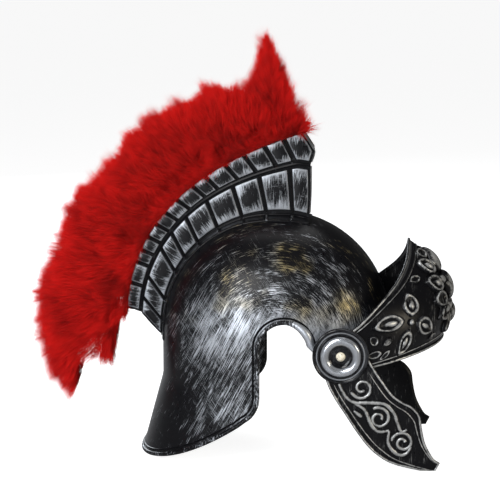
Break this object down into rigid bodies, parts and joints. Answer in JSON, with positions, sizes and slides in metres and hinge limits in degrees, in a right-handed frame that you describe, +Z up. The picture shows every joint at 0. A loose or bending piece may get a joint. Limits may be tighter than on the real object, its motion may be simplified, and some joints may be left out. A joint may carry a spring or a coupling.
{
  "type": "roman legionary helmet",
  "caption": "Crested helmet with a neck guard, a feather plume in a plated crest box, a brow visor and pointed cheek guards that swing on side pivots.",
  "frame": {"origin": "on the surface it stands on, under the middle of its box", "axes": "+Z up, +X towards the face opening, +Y towards the wearer's left"},
  "size_m": [0.4223, 0.1974, 0.414],
  "materials": {
    "shell_paint": "black with fine dry-brushed silver",
    "crest_paint": "antique silver over black",
    "relief_paint": "antique silver over black, silver on the raised parts",
    "plume_feather": "soft bright red feather",
    "rivet_white": "cream white"
  },
  "bodies": {
    "helmet": {"bowl": "shell_paint", "crest_box": "crest_paint", "plume": "plume_feather", "pivot_boss_right": "relief_paint", "pivot_boss_left": "relief_paint", "pivot_rivet_right": "rivet_white", "pivot_rivet_left": "rivet_white"},
    "visor": {"brow_visor": "relief_paint"},
    "cheek_right": {"cheek_guard_right": "relief_paint"},
    "cheek_left": {"cheek_guard_left": "relief_paint"}
  },
  "joints": [
    {"name": "visor_tilt", "type": "hinge", "parent": "helmet", "child": "visor", "pos_m": [0.095, 0, 0.114], "axis": [0, -1, 0], "range_deg": [-25, 35]},
    {"name": "cheek_right_swing", "type": "hinge", "parent": "helmet", "child": "cheek_right", "pos_m": [0.095, -0.09, 0.114], "axis": [0, -1, 0], "range_deg": [-35, 15]},
    {"name": "cheek_left_swing", "type": "hinge", "parent": "helmet", "child": "cheek_left", "pos_m": [0.095, 0.09, 0.114], "axis": [0, -1, 0], "range_deg": [-35, 15]}
  ]
}
